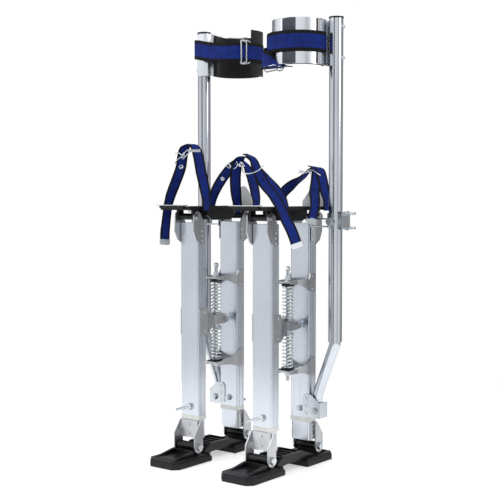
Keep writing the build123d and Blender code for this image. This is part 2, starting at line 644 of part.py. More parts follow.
# ---------------------------------------------------------------- deck and foot straps
def deck(side):
    """Cast deck with a toe bar, a channel underneath and two pairs of hinge lugs."""
    y0, y1 = DECK_Y
    with BuildPart() as piece:
        with BuildSketch(level(side, DECK_Z - DECK_T, 0, (y0 + y1) / 2)):
            RectangleRounded(2 * DECK_HALF, y1 - y0, 10)
        extrude(amount=DECK_T)
        box(side, -37, 37, y0 - 7, y0 + 2, DECK_Z - 4, DECK_Z + 2)
        for x in (-30, 0, 30):
            box(side, x - 9, x + 9, y0 + 20, y1 - 16, DECK_Z - 2, DECK_Z + 1, mode=Mode.SUBTRACT)
        skirt = ((-52, DECK_Z - 6), (52, DECK_Z - 6), (52, 588), (34, 577), (-34, 577), (-52, 588))
        for x in (-26, 22):
            with BuildSketch(lengthwise(side, x)):
                Polygon(*skirt, align=None)
            extrude(amount=4)
        for s in (FRONT, REAR):
            for x in (-26.8, 20.8):
                with BuildSketch(lengthwise(side, x)):
                    with Locations((s * PIVOT_Y, TOP_PIVOT_Z)):
                        Circle(9.5)
                    lug_top = (s * PIVOT_Y, (TOP_PIVOT_Z + DECK_Z - 2) / 2)
                    with Locations(lug_top):
                        Rectangle(19, DECK_Z - 2 - TOP_PIVOT_Z)
                extrude(amount=6)
            rod_x(side, s * PIVOT_Y, TOP_PIVOT_Z, 7.5, -22, 22)
            rod_x(side, s * PIVOT_Y, TOP_PIVOT_Z, PIN_R + RUN, -28, 28, Mode.SUBTRACT)
    save(piece, side, "deck")


def heel_plate(side):
    """Rounded triangular stop at the back of the deck, with a foot under the deck's edge."""
    with BuildPart() as piece:
        with BuildSketch(across(side, HEEL_Y)) as outline:
            Polygon((-35, DECK_Z - 8), (35, DECK_Z - 8), (35, DECK_Z + 12), (0, DECK_Z + 56),
                    (-35, DECK_Z + 12), align=None)
            fillet(outline.vertices().group_by(Axis.Y)[-1], 11)
            fillet(outline.vertices().group_by(Axis.Y)[-2], 8)
        extrude(amount=2.5)
    save(piece, side, "heel_plate")


def webbing(side, route):
    """Strip of webbing lofted along a route."""
    spots = [Vector(side * (STILT_X + x), STRUT_MID_Y + y, z) for x, y, z, _ in route]
    with BuildPart(mode=Mode.PRIVATE) as strip:
        for i, (spot, (_, _, _, turn)) in enumerate(zip(spots, route)):
            run = (spots[min(i + 1, len(spots) - 1)] - spots[max(i - 1, 0)]).normalized()
            width = Vector(cos(radians(turn)), sin(radians(turn)), 0)
            width = width - run * width.dot(run)
            with BuildSketch(Plane(spot, x_dir=width, z_dir=run)):
                Rectangle(WEBBING, STRAP_T)
        loft(ruled=True)
    return strip.part


def straps(side):
    """Toe and heel straps with their loose tails."""
    with BuildPart() as piece:
        for route in (TOE_STRAP[side], HEEL_STRAP[side], *LOOSE_TAILS[side]):
            add(webbing(side, route))
    save(piece, side, "straps")


# ---------------------------------------------------------------- the pair
for stilt in (RIGHT, LEFT):
    soles(stilt)
    floor_plate(stilt)
    foot_pins(stilt)
    for strut in (FRONT, REAR):
        inner_tube(stilt, strut)
        foot_bracket(stilt, strut)
        outer_tube(stilt, strut)
        bushing(stilt, strut)
        top_bracket(stilt, strut)
        lock_bolt(stilt, strut)
    spring_arm(stilt)
    spring_brackets(stilt)
    spring_rod(stilt)
    spring(stilt, "upper_spring", UPPER_SPRING)
    spring(stilt, "lower_spring", LOWER_SPRING)
    spring_yoke(stilt)
    lower_leg_tube(stilt)
    leg_tube_clamps(stilt)
    upper_leg_tube(stilt)
    calf_band(stilt)
    calf_pad(stilt)
    calf_strap(stilt)
    deck(stilt)
    heel_plate(stilt)
    straps(stilt)
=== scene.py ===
"""Looks of the drywall stilts: materials, webbing, padding, springs and small fittings.

Metres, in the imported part's frame. u is the distance outward from a stilt's centre plane,
y the distance back from the middle of its two struts, z the height above the floor.
"""
import json
from math import cos, pi, radians, sin

import bmesh
import bpy
import numpy as np
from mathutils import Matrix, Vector


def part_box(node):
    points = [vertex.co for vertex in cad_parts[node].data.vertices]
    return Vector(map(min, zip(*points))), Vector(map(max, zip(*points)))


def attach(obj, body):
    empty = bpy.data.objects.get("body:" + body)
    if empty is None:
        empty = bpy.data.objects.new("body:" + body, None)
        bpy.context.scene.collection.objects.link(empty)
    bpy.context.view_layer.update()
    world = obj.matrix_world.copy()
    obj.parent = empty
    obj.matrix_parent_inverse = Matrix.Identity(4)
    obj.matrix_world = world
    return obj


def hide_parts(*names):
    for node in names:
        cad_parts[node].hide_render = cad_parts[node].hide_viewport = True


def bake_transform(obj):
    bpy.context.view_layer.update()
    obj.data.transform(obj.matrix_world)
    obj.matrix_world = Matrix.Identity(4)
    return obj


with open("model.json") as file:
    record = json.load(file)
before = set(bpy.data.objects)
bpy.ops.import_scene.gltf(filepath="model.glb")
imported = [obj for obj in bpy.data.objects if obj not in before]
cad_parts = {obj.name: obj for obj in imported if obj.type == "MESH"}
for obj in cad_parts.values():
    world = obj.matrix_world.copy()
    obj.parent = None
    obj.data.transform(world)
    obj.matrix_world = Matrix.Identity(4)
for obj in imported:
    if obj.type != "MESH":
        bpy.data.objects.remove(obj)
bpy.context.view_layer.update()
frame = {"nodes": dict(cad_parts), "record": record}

MM = 0.001
RIGHT, LEFT = -1, 1
NAME = {RIGHT: "right", LEFT: "left"}


def middle(node):
    """Centre of a CAD node's box."""
    low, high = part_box(node)
    return (low + high) / 2


STILT_X = middle("left_deck").x
STRUT_MID_Y = (middle("left_front_outer_tube").y + middle("left_rear_outer_tube").y) / 2
LEG_AXIS = {side: middle(f"{NAME[side]}_upper_leg_tube") for side in (RIGHT, LEFT)}
LEG_R = (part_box("left_upper_leg_tube")[1].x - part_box("left_upper_leg_tube")[0].x) / 2
LEG_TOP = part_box("left_upper_leg_tube")[1].z
DECK_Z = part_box("left_deck")[1].z - 2 * MM


def at(side, u, y, z):
    """Point of a stilt from millimetres outward, back and up."""
    return Vector((side * (STILT_X + u * MM), STRUT_MID_Y + y * MM, z * MM))


# ---------------------------------------------------------------- camera and light
CAMERA_AZ = 38.0
CAMERA_PITCH = 3.0
CAMERA_AT = Vector((1.5878, STRUT_MID_Y - 2.0255, 0.6408))
FOCAL = 77.75
SENSOR = 36
# Brightness of the room round the horizon, as (share of a turn, shade), for the metal to reflect.
SCREENS = (
    (0.000, 0.05), (0.016, 0.05), (0.030, 0.80), (0.080, 0.98), (0.170, 1.00), (0.225, 0.90), (0.260, 0.28),
    (0.340, 0.20), (0.400, 0.62), (0.460, 0.20), (0.530, 0.24), (0.570, 0.52), (0.620, 0.40), (0.665, 0.60),
    (0.700, 0.98), (0.770, 1.00), (0.805, 0.55), (0.850, 0.92), (0.930, 1.00), (0.972, 0.95), (0.986, 0.05),
)
SCREEN_TINT = (0.97, 0.985, 1.0)
ROOM_STRENGTH = 0.9
# Area lights: place, aim, size in metres and power in watts.
LIGHTS = {
    "key": ((-1.6, -2.6, 2.4), (0, 0, 0.6), (1.4, 1.4), 26),
    "side": ((2.6, 0.6, 1.8), (0, 0, 0.6), (1.0, 1.8), 12),
    "top": ((0, 0, 3.2), (0, 0, 0), (2.4, 2.4), 26),
}
FLOOR_REACH = 1.15
FLOOR_SIDES = 96
FLOOR_DROP = 0.5 * MM
FLOOR_GLOW = 0.46


def camera():
    """Camera off the front corner, looking slightly down."""
    data = bpy.data.cameras.new("camera")
    data.lens = FOCAL
    data.sensor_width = SENSOR
    data.clip_end = 100
    thing = bpy.data.objects.new("camera", data)
    bpy.context.scene.collection.objects.link(thing)
    thing.location = CAMERA_AT
    thing.rotation_euler = (radians(90 - CAMERA_PITCH), 0, radians(CAMERA_AZ))
    bpy.context.scene.camera = thing


def softbox(name, place, target, size, power):
    """Rectangular area light aimed at a point."""
    data = bpy.data.lights.new(name, "AREA")
    data.shape = "RECTANGLE"
    data.size, data.size_y = size
    data.energy = power
    thing = bpy.data.objects.new(name, data)
    bpy.context.scene.collection.objects.link(thing)
    thing.location = place
    aim = Vector(target) - Vector(place)
    thing.rotation_euler = aim.to_track_quat("-Z", "Y").to_euler()


def studio():
    """White room: plain to look at, with grey and dark screens for the metal to reflect."""
    bpy.context.scene.view_settings.view_transform = "Standard"
    world = bpy.data.worlds.new("studio")
    bpy.context.scene.world = world
    world.use_nodes = True
    nodes, links = world.node_tree.nodes, world.node_tree.links
    nodes.clear()
    out = nodes.new("ShaderNodeOutputWorld")
    place = nodes.new("ShaderNodeTexCoord")
    split = nodes.new("ShaderNodeSeparateXYZ")
    links.new(place.outputs["Generated"], split.inputs[0])
    turn = nodes.new("ShaderNodeMath")
    turn.operation = "ARCTAN2"
    links.new(split.outputs["X"], turn.inputs[0])
    links.new(split.outputs["Y"], turn.inputs[1])
    scale = nodes.new("ShaderNodeMapRange")
    scale.inputs["From Min"].default_value = -pi
    scale.inputs["From Max"].default_value = pi
    links.new(turn.outputs[0], scale.inputs["Value"])
    ramp = nodes.new("ShaderNodeValToRGB")
    ramp.color_ramp.interpolation = "EASE"
    links.new(scale.outputs[0], ramp.inputs[0])
    marks = ramp.color_ramp.elements
    while len(marks) > 1:
        marks.remove(marks[0])
    for index, (spot, shade) in enumerate(SCREENS):
        mark = marks[0] if index == 0 else marks.new(spot)
        mark.position = spot
        mark.color = (*(shade * part for part in SCREEN_TINT), 1)
    path = nodes.new("ShaderNodeLightPath")
    seen = nodes.new("ShaderNodeBackground")
    seen.inputs["Color"].default_value = (1, 1, 1, 1)
    seen.inputs["Strength"].default_value = 1.0
    room = nodes.new("ShaderNodeBackground")
    links.new(ramp.outputs[0], room.inputs["Color"])
    room.inputs["Strength"].default_value = ROOM_STRENGTH
    mix = nodes.new("ShaderNodeMixShader")
    links.new(path.outputs["Is Camera Ray"], mix.inputs[0])
    links.new(room.outputs[0], mix.inputs[1])
    links.new(seen.outputs[0], mix.inputs[2])
    links.new(mix.outputs[0], out.inputs["Surface"])
    for name, (spot, target, size, power) in LIGHTS.items():
        softbox(name, spot, target, size, power)


def floor():
    """Plain pale floor disc."""
    mesh = bpy.data.meshes.new("floor")
    turns = [2 * pi * k / FLOOR_SIDES for k in range(FLOOR_SIDES)]
    rim = [(FLOOR_REACH * cos(turn), FLOOR_REACH * sin(turn), 0) for turn in turns]
    mesh.from_pydata(rim, [], [tuple(range(FLOOR_SIDES))])
    thing = bpy.data.objects.new("floor", mesh)
    bpy.context.scene.collection.objects.link(thing)
    thing.location.z = -FLOOR_DROP
    stuff, tree, shader = new_material("floor", (0.93, 0.93, 0.93), 0.6)
    cloud = noise(tree, (3, 3, 3))
    tone = blend_colour(tree, remap(tree, cloud, 0, 1), (0.90,) * 3, (0.94,) * 3)
    tree.links.new(tone, shader.inputs["Base Color"])
    shader.inputs["Emission Color"].default_value = (1, 1, 1, 1)
    shader.inputs["Emission Strength"].default_value = FLOOR_GLOW
    thing.data.materials.append(stuff)


# ---------------------------------------------------------------- material tools
def new_material(name, colour, roughness, metallic=0.0):
    """Material with one Principled shader, and its tree and shader."""
    stuff = bpy.data.materials.new(name)
    stuff.use_nodes = True
    tree = stuff.node_tree
    shader = tree.nodes["Principled BSDF"]
    shader.inputs["Base Color"].default_value = (*colour, 1)
    shader.inputs["Roughness"].default_value = roughness
    shader.inputs["Metallic"].default_value = metallic
    return stuff, tree, shader


def coords(tree, scale):
    """Object coordinates stretched by a scale along each axis."""
    place = tree.nodes.new("ShaderNodeTexCoord")
    stretch = tree.nodes.new("ShaderNodeMapping")
    stretch.inputs["Scale"].default_value = scale
    tree.links.new(place.outputs["Object"], stretch.inputs["Vector"])
    return stretch.outputs["Vector"]


def noise(tree, scale, size=1.0, detail=4.0, roughness=0.55):
    """Noise value over object coordinates."""
    cloud = tree.nodes.new("ShaderNodeTexNoise")
    cloud.inputs["Scale"].default_value = size
    cloud.inputs["Detail"].default_value = detail
    cloud.inputs["Roughness"].default_value = roughness
    tree.links.new(coords(tree, scale), cloud.inputs["Vector"])
    return cloud.outputs["Fac"]


def remap(tree, value, low, high, from_low=0.3, from_high=0.7):
    """A value moved from one range to another."""
    fit = tree.nodes.new("ShaderNodeMapRange")
    fit.inputs["From Min"].default_value = from_low
    fit.inputs["From Max"].default_value = from_high
    fit.inputs["To Min"].default_value = low
    fit.inputs["To Max"].default_value = high
    tree.links.new(value, fit.inputs["Value"])
    return fit.outputs["Result"]


def blend_colour(tree, factor, first, second):
    """Colour between two colours by a factor."""
    mix = tree.nodes.new("ShaderNodeMix")
    mix.data_type = "RGBA"
    mix.inputs["A"].default_value = (*first, 1)
    mix.inputs["B"].default_value = (*second, 1)
    tree.links.new(factor, mix.inputs["Factor"])
    return mix.outputs["Result"]


def bump(tree, shader, height, strength, distance):
    """Bump from a height value."""
    node = tree.nodes.new("ShaderNodeBump")
    node.inputs["Strength"].default_value = strength
    node.inputs["Distance"].default_value = distance
    tree.links.new(height, node.inputs["Height"])
    tree.links.new(node.outputs["Normal"], shader.inputs["Normal"])


def maths(tree, operation, first, second=None):
    """Result of one maths node on a value and another value, a plain number or nothing."""
    node = tree.nodes.new("ShaderNodeMath")
    node.operation = operation
    tree.links.new(first, node.inputs[0])
    if isinstance(second, float):
        node.inputs[1].default_value = second
    elif second is not None:
        tree.links.new(second, node.inputs[1])
    return node.outputs[0]


def metal(name, light, dark, rough, grain, depth=0.00004, strength=0.25):
    """Metal with a directional grain and cloudy wear; grain is the stretch of its lines."""
    stuff, tree, shader = new_material(name, light, rough[0], 1.0)
    lines = noise(tree, grain, 1.0, 6.0, 0.65)
    cloud = noise(tree, (9, 9, 5), 1.0, 5.0, 0.6)
    tree.links.new(blend_colour(tree, remap(tree, cloud, 0, 1), dark, light), shader.inputs["Base Color"])
    finish = maths(tree, "ADD", remap(tree, lines, rough[0], rough[1]), remap(tree, cloud, 0, 0.06))
    tree.links.new(finish, shader.inputs["Roughness"])
    bump(tree, shader, lines, strength, depth)
    return stuff


def moulded(name, light, dark, rough, size, depth):
    """Cast or moulded surface: fine pebble, slow colour change and scuffs."""
    stuff, tree, shader = new_material(name, light, rough[0])
    pebble = noise(tree, (size,) * 3, 1.0, 3.0, 0.5)
    scuff = noise(tree, (60, 14, 40), 1.0, 8.0, 0.75)
    tone = blend_colour(tree, remap(tree, scuff, 0, 1, 0.45, 0.75), light, dark)
    tree.links.new(tone, shader.inputs["Base Color"])
    tree.links.new(remap(tree, scuff, rough[0], rough[1], 0.35, 0.7), shader.inputs["Roughness"])
    bump(tree, shader, pebble, 0.35, depth)
    shader.inputs["Specular IOR Level"].default_value = 0.35
    return stuff


def knit(name, light, dark, size):
    """Soft fabric face of the foam: fine knit with lint."""
    stuff, tree, shader = new_material(name, light, 0.92)
    shader.inputs["Sheen Weight"].default_value = 0.12
    weave = tree.nodes.new("ShaderNodeTexVoronoi")
    weave.inputs["Scale"].default_value = 1.0
    tree.links.new(coords(tree, (size,) * 3), weave.inputs["Vector"])
    cloud = noise(tree, (40, 40, 40), 1.0, 6.0, 0.7)
    tone = blend_colour(tree, remap(tree, cloud, 0, 1, 0.4, 0.75), light, dark)
    tree.links.new(tone, shader.inputs["Base Color"])
    bump(tree, shader, weave.outputs["Distance"], 0.5, 0.0004)
    return stuff


TWILL_PITCH = 1.6 * MM
RIB_PITCH = 2.1 * MM


def woven(name, centre, centre_dark, edge):
    """Webbing: ribbed weave with a darker border down both edges.

    Its map holds metres across and along the strap; the attribute border is 0 to 1 across."""
    stuff, tree, shader = new_material(name, centre, 0.7)
    shader.inputs["Specular IOR Level"].default_value = 0.25
    place = tree.nodes.new("ShaderNodeUVMap")
    place.uv_map = "strap"

    def wave(x_weight, y_weight, pitch):
        """Sine ribs; the weights turn them across or along the strap."""
        total = tree.nodes.new("ShaderNodeVectorMath")
        total.operation = "DOT_PRODUCT"
        total.inputs[1].default_value = (x_weight, y_weight, 0)
        tree.links.new(place.outputs["UV"], total.inputs[0])
        return maths(tree, "SINE", maths(tree, "MULTIPLY", total.outputs["Value"], 2 * pi / pitch))

    twill = maths(tree, "MULTIPLY", wave(1, 1, TWILL_PITCH), wave(1, -1, TWILL_PITCH))
    ribs = maths(tree, "ADD", twill, wave(1, 0, RIB_PITCH))
    cloud = noise(tree, (55, 55, 55), 1.0, 6.0, 0.7)
    # The blue mixes random cloud tone with the rib height that the bump also uses: the cloud is tone, the
    # darkening in the rib grooves is painted shade.
    shade = maths(tree, "ADD", remap(tree, cloud, 0, 1), remap(tree, ribs, -0.35, 0.35, -1.5, 1.5))
    blue = blend_colour(tree, shade, centre_dark, centre)
    border = tree.nodes.new("ShaderNodeAttribute")
    border.attribute_name = "border"
    cut = remap(tree, border.outputs["Fac"], 0, 1, 0.62, 0.70)
    final = tree.nodes.new("ShaderNodeMix")
    final.data_type = "RGBA"
    final.inputs["B"].default_value = (*edge, 1)
    tree.links.new(cut, final.inputs["Factor"])
    tree.links.new(blue, final.inputs["A"])
    tree.links.new(final.outputs["Result"], shader.inputs["Base Color"])
    bump(tree, shader, ribs, 0.6, 0.00025)
    return stuff


MATERIAL = {
    "aluminium_tube": metal("strut_alloy", (0.66, 0.695, 0.75), (0.59, 0.62, 0.68), (0.18, 0.28), (420, 420, 3)),
    "leg_tube_alloy": metal("leg_alloy", (0.70, 0.72, 0.76), (0.56, 0.58, 0.63), (0.07, 0.15),
                            (500, 500, 4), 0.00002),
    "bracket_steel": metal("bracket_steel", (0.60, 0.605, 0.62), (0.40, 0.405, 0.42), (0.22, 0.40),
                           (90, 160, 60)),
    "zinc": metal("zinc", (0.70, 0.73, 0.75), (0.44, 0.48, 0.52), (0.12, 0.32), (260, 260, 260)),
    "spring_steel": metal("spring_steel", (0.80, 0.83, 0.84), (0.60, 0.64, 0.67), (0.08, 0.22), (200, 200, 500)),
    "band_sheet": metal("band_sheet", (0.84, 0.86, 0.90), (0.74, 0.77, 0.81), (0.12, 0.28), (30, 30, 900)),
    "cast_black": moulded("cast_black", (0.003, 0.003, 0.004), (0.008, 0.008, 0.010), (0.26, 0.46), 900, 0.00006),
    "sole_rubber": moulded("sole_rubber", (0.005, 0.005, 0.006), (0.012, 0.012, 0.013), (0.5, 0.75), 700, 0.0002),
    "nylon": moulded("nylon", (0.74, 0.75, 0.72), (0.62, 0.63, 0.60), (0.3, 0.45), 500, 0.0001),
    "black_plastic": moulded("black_plastic", (0.005, 0.005, 0.006), (0.014, 0.014, 0.015), (0.28, 0.5),
                             800, 0.0001),
    "foam": knit("foam_cover", (0.004, 0.004, 0.005), (0.011, 0.011, 0.012), 700),
    "hook_tape": knit("hook_tape", (0.045, 0.055, 0.068), (0.10, 0.115, 0.135), 420),
    "webbing": woven("webbing", (0.001, 0.024, 0.25), (0.0005, 0.008, 0.10), (0.001, 0.001, 0.002)),
}
SLOT_OF = {row["node"]: row["material_slot"] for row in frame["record"]["subparts"]}


def dress_cad():
    """Give every carried-over CAD node its finished material."""
    for name, thing in frame["nodes"].items():
        thing.data.materials.clear()
        thing.data.materials.append(MATERIAL[SLOT_OF[name]])


# ---------------------------------------------------------------- mesh tools
def build(name, points, faces, slot, body, smooth=True):
    """New piece from points and faces, riding on a body."""
    mesh = bpy.data.meshes.new(name)
    mesh.from_pydata([tuple(p) for p in points], [], faces)
    thing = bpy.data.objects.new(name, mesh)
    bpy.context.scene.collection.objects.link(thing)
    return finish_piece(thing, slot, body, smooth)


def finish_piece(thing, slot, body, smooth=True):
    """Material, shading and body of a piece."""
    thing.data.materials.append(MATERIAL[slot])
    if smooth:
        for face in thing.data.polygons:
            face.use_smooth = True
    if body:
        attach(thing, body)
    return thing


def smooth_line(points, steps, closed=False):
    """Catmull-Rom line through points, steps to each span."""
    pts = [np.array(p, float) for p in points]
    count = len(pts)
    line = []
    spans = count if closed else count - 1
    for i in range(spans):
        if closed:
            a, b, c, d = (pts[(i + k) % count] for k in (-1, 0, 1, 2))
        else:
            b, c = pts[i], pts[i + 1]
            a = pts[i - 1] if i else 2 * b - c
            d = pts[i + 2] if i + 2 < count else 2 * c - b
        for k in range(steps):
            t = k / steps
            line.append(0.5 * (2 * b + (c - a) * t + (2 * a - 5 * b + 4 * c - d) * t**2
                               + (3 * b - 3 * c + d - a) * t**3))
    if not closed:
        line.append(pts[-1])
    return np.array(line)


def tangents(line, closed=False):
    """Unit direction at each point of a line."""
    if closed:
        way = np.roll(line, -1, 0) - np.roll(line, 1, 0)
    else:
        way = np.gradient(line, axis=0)
    return way / np.linalg.norm(way, axis=1)[:, None]


def wire(name, line, radius, slot, body, closed=False, sides=10):
    """Round bar that follows a line; its frame is carried along without twist."""
    line = np.array(line, float)
    way = tangents(line, closed)
    normal = np.cross(way[0], (0.3, 0.2, 0.93))
    normal /= np.linalg.norm(normal)
    points, faces = [], []
    for p, t in zip(line, way):
        normal = normal - t * np.dot(normal, t)
        normal /= np.linalg.norm(normal)
        side = np.cross(t, normal)
        for k in range(sides):
            turn = 2 * pi * k / sides
            points.append(p + radius * (cos(turn) * normal + sin(turn) * side))
    rings = len(line)
    for i in range(rings if closed else rings - 1):
        a, b = i * sides, ((i + 1) % rings) * sides
        for k in range(sides):
            n = (k + 1) % sides
            faces.append((a + k, a + n, b + n, b + k))
    if not closed:
        faces.append(tuple(range(sides))[::-1])
        faces.append(tuple(range((rings - 1) * sides, rings * sides)))
    return build(name, points, faces, slot, body)


def lathe(name, profile, origin, axis, slot, body, sides=40):
    """Turned piece: profile is (radius, distance along axis) in metres."""
    axis = Vector(axis).normalized()
    turn = axis.to_track_quat("Z", "Y").to_matrix()
    points, faces = [], []
    for radius, height in profile:
        for k in range(sides):
            spin = 2 * pi * k / sides
            spot = Vector((radius * cos(spin), radius * sin(spin), height))
            points.append(Vector(origin) + turn @ spot)
    for i in range(len(profile) - 1):
        for k in range(sides):
            n = (k + 1) % sides
            faces.append((i * sides + k, i * sides + n, (i + 1) * sides + n, (i + 1) * sides + k))
    faces.append(tuple(range(sides))[::-1])
    faces.append(tuple(range((len(profile) - 1) * sides, len(profile) * sides)))
    thing = build(name, points, faces, slot, body)
    edge = thing.modifiers.new("edge", "EDGE_SPLIT")
    edge.split_angle = radians(40)
    return thing


ACROSS = 10


def strap(name, stations, width, thick, body, steps=10, ripple=0.0):
    """Webbing through stations of (point, width direction), with a rounded selvedge."""
    line = smooth_line([p for p, _ in stations], steps)
    wide = smooth_line([w for _, w in stations], steps)
    way = tangents(line)
    run = np.concatenate(([0], np.cumsum(np.linalg.norm(np.diff(line, axis=0), axis=1))))
    upper = []
    for k in range(ACROSS + 1):
        x = -1 + 2 * k / ACROSS
        upper.append((x, 1 - 0.55 * max(0.0, abs(x) - 0.9) / 0.1))
    outline = [(x, h / 2) for x, h in upper] + [(x, -h / 2) for x, h in reversed(upper)]
    points, faces, border, uv = [], [], [], []
    for i, (p, t) in enumerate(zip(line, way)):
        w = wide[i] - t * np.dot(wide[i], t)
        w /= np.linalg.norm(w)
        n = np.cross(t, w)
        wave = ripple * sin(run[i] * 90) + 0.6 * ripple * sin(run[i] * 217 + 1.3)
        for x, h in outline:
            points.append(p + w * x * width / 2 + n * (h * thick + wave * (1 - 0.4 * x)))
            border.append(abs(x))
            uv.append((x * width / 2, run[i]))
    size = len(outline)
    for i in range(len(line) - 1):
        for k in range(size):
            m = (k + 1) % size
            faces.append((i * size + k, i * size + m, (i + 1) * size + m, (i + 1) * size + k))
    faces.append(tuple(range(size))[::-1])
    faces.append(tuple(range((len(line) - 1) * size, len(line) * size)))
    thing = build(name, points, faces, "webbing", None)
    mesh = thing.data
    mesh.attributes.new("border", "FLOAT", "POINT").data.foreach_set("value", border)
    layer = mesh.uv_layers.new(name="strap")
    for loop in mesh.loops:
        layer.data[loop.index].uv = uv[loop.vertex_index]
    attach(thing, body)
    return thing


def sheet_metal(name, outline, origin, x_way, y_way, thick, slot, body, soften=0.0004):
    """Flat plate cut to an outline of (x, y) millimetres, with softened edges."""
    x_way, y_way = Vector(x_way).normalized(), Vector(y_way).normalized()
    normal = x_way.cross(y_way)
    shell = bmesh.new()
    ring = [shell.verts.new(Vector(origin) + x_way * x * MM + y_way * y * MM) for x, y in outline]
    face = shell.faces.new(ring)
    shell.normal_update()
    pushed = bmesh.ops.extrude_face_region(shell, geom=[face])
    moved = [v for v in pushed["geom"] if isinstance(v, bmesh.types.BMVert)]
    bmesh.ops.translate(shell, verts=moved, vec=normal * thick)
    bmesh.ops.recalc_face_normals(shell, faces=shell.faces)
    mesh = bpy.data.meshes.new(name)
    shell.to_mesh(mesh)
    shell.free()
    thing = bpy.data.objects.new(name, mesh)
    bpy.context.scene.collection.objects.link(thing)
    edge = thing.modifiers.new("edge", "BEVEL")
    edge.width = soften
    edge.segments = 2
    return finish_piece(thing, slot, body, smooth=False)


# ---------------------------------------------------------------- springs
ROD_Y = 11.0
COIL_R = 11.5
COIL_WIRE_R = 2.0
COIL_TURNS = 9
CLOSED_TURNS = 0.75
TURN_POINTS = 26
SPRINGS = (("upper", 428, 349), ("lower", 231, 311))
SEATS = (("top", 434.5, -1), ("bottom", 224.5, 1))
SEAT_DEPTH = 6


def spring(side, which, fixed_z, moving_z):
    """Coil with flat closed ends, drawn at one length between the fixed and the moving height."""
    name = f"{NAME[side]}_{which}_spring"
    up = 1 if moving_z > fixed_z else -1
    span = abs(moving_z - fixed_z) - 2 * COIL_WIRE_R
    turns = COIL_TURNS + 2 * CLOSED_TURNS
    rings = int(turns * TURN_POINTS)
    line = []
    for k in range(rings + 1):
        part = k / rings
        turn = part * turns
        rise = min(max((turn - CLOSED_TURNS) / COIL_TURNS, 0), 1)
        spin = up * 2 * pi * turn
        height = fixed_z + up * (COIL_WIRE_R + rise * span)
        line.append(at(side, COIL_R * cos(spin), ROD_Y + COIL_R * sin(spin), height))
    thing = wire(f"{name}_coil", line, COIL_WIRE_R * MM, "spring_steel", None, sides=9)
    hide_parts(name)
    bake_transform(thing)


def seat_cup(side, label, z, up):
    """Black cup that a spring end sits in."""
    rim = SEAT_DEPTH + 3.8
    profile = [(14.6, 0), (14.9, 0.6), (14.9, rim - 0.6), (14.5, rim), (14.0, rim - 0.4),
               (13.9, SEAT_DEPTH), (4.5, SEAT_DEPTH)]
    lathe(f"{NAME[side]}_seat_{label}", [(r * MM, h * MM) for r, h in profile],
          at(side, 0, ROD_Y, z), (0, 0, up), "black_plastic", f"{NAME[side]}_rear_upper")


# ---------------------------------------------------------------- calf band parts
BAND_U = 11.5
BAND_FROM_LEG = 36.0
BAND_OUT = 63.0
LEG_BACK = 74
CALF_STRAP_Z = 987
CALF_WIDTH = 48 * MM
CALF_END_WIDTH = 46 * MM
CALF_THICK = 2.2 * MM


def ring(side, angle, radius, z):
    """Point on the calf band's circle; the angle runs from the outer side round the wrapped half."""
    turn = radians(angle)
    wrap = -side
    return at(side, BAND_U + radius * cos(turn), LEG_BACK + wrap * (BAND_FROM_LEG + radius * sin(turn)), z)


def calf_pad(side):
    """Foam lining with full, rounded edges and a slack, uneven inner face."""
    rng = np.random.default_rng(7 + side)
    node = f"{NAME[side]}_calf_pad"
    low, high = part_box(node)
    z0, z1 = low.z / MM - 6, high.z / MM + 2
    start, end = -32, 194
    length, around = 72, 22
    points, faces = [], []
    lumps = rng.normal(0, 1, (5, 3))
    for i in range(length + 1):
        share = i / length
        angle = start + (end - start) * share
        for k in range(around):
            turn = 2 * pi * k / around
            c, s = cos(turn), sin(turn)
            across = np.sign(s) * abs(s) ** 0.28
            through = np.sign(c) * abs(c) ** 0.5
            z = (z0 + z1) / 2 + across * (z1 - z0) / 2
            tip = min(1.0, 0.35 + 0.65 * (1 - (1 - min(1, min(share, 1 - share) * 22)) ** 2) ** 0.5)
            swell = 0.0
            for a, b, f in lumps:
                swell += 0.28 * sin(angle * 0.05 * (1 + abs(a)) + b * 3) * sin(z * 0.06 * (1 + abs(f)) + a)
            thick = 4.6 * tip
            radius = BAND_OUT - 6.8 + through * thick - (swell if through < 0 else 0) * tip
            points.append(ring(side, angle, radius, z))
    for i in range(length):
        for k in range(around):
            n = (k + 1) % around
            faces.append((i * around + k, i * around + n, (i + 1) * around + n, (i + 1) * around + k))
    faces.append(tuple(range(around))[::-1])
    faces.append(tuple(range(length * around, (length + 1) * around)))
    thing = build(f"{node}_foam", points, faces, "foam", f"{NAME[side]}_leg_tube")
    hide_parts(node)


def cloth_strip(name, stations, width, thick, body, held, rests_on, replaces=(), **options):
    """Strap along stations, hiding the CAD nodes it replaces."""
    thing = strap(name, stations, width, thick, body, **options)
    if replaces:
        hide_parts(*replaces)
    return thing


TUBE_WRAP = ((35, -27.5, 990), (70, -25, 996), (92, -22.5, 1001),
             (106, -17, 1003), (112, -8, 1004), (112.5, 12, 1004))


def calf_strap(side):
    """Wide strap round the band and across its opening; the right one also passes the leg tube."""
    name = NAME[side]
    up = Vector((0, 0, 1))
    out = BAND_OUT + 1.7
    if side == RIGHT:
        path = [ring(side, angle, out, CALF_STRAP_Z) for angle in range(20, 264, 11)]
        path += [at(side, u, LEG_BACK + y, z) for u, y, z in TUBE_WRAP]
    else:
        path = [ring(side, angle, out, CALF_STRAP_Z) for angle in range(-18, 108, 11)]
        path += [ring(side, angle, out + swell, z) for angle, swell, z in
                 ((114, 3, 987), (126, 7, 986), (138, 9.5, 985), (150, 9, 985), (162, 5, 986), (174, 1, 987))]
        path += [ring(side, angle, out, CALF_STRAP_Z) for angle in range(186, 313, 11)]
    stations = [(spot, up) for spot in path]
    cloth_strip(f"{name}_calf_webbing", stations, CALF_WIDTH, CALF_THICK, f"{name}_leg_tube", "stretched",
                [f"{name}_calf_band"], [f"{name}_calf_strap"], steps=5)


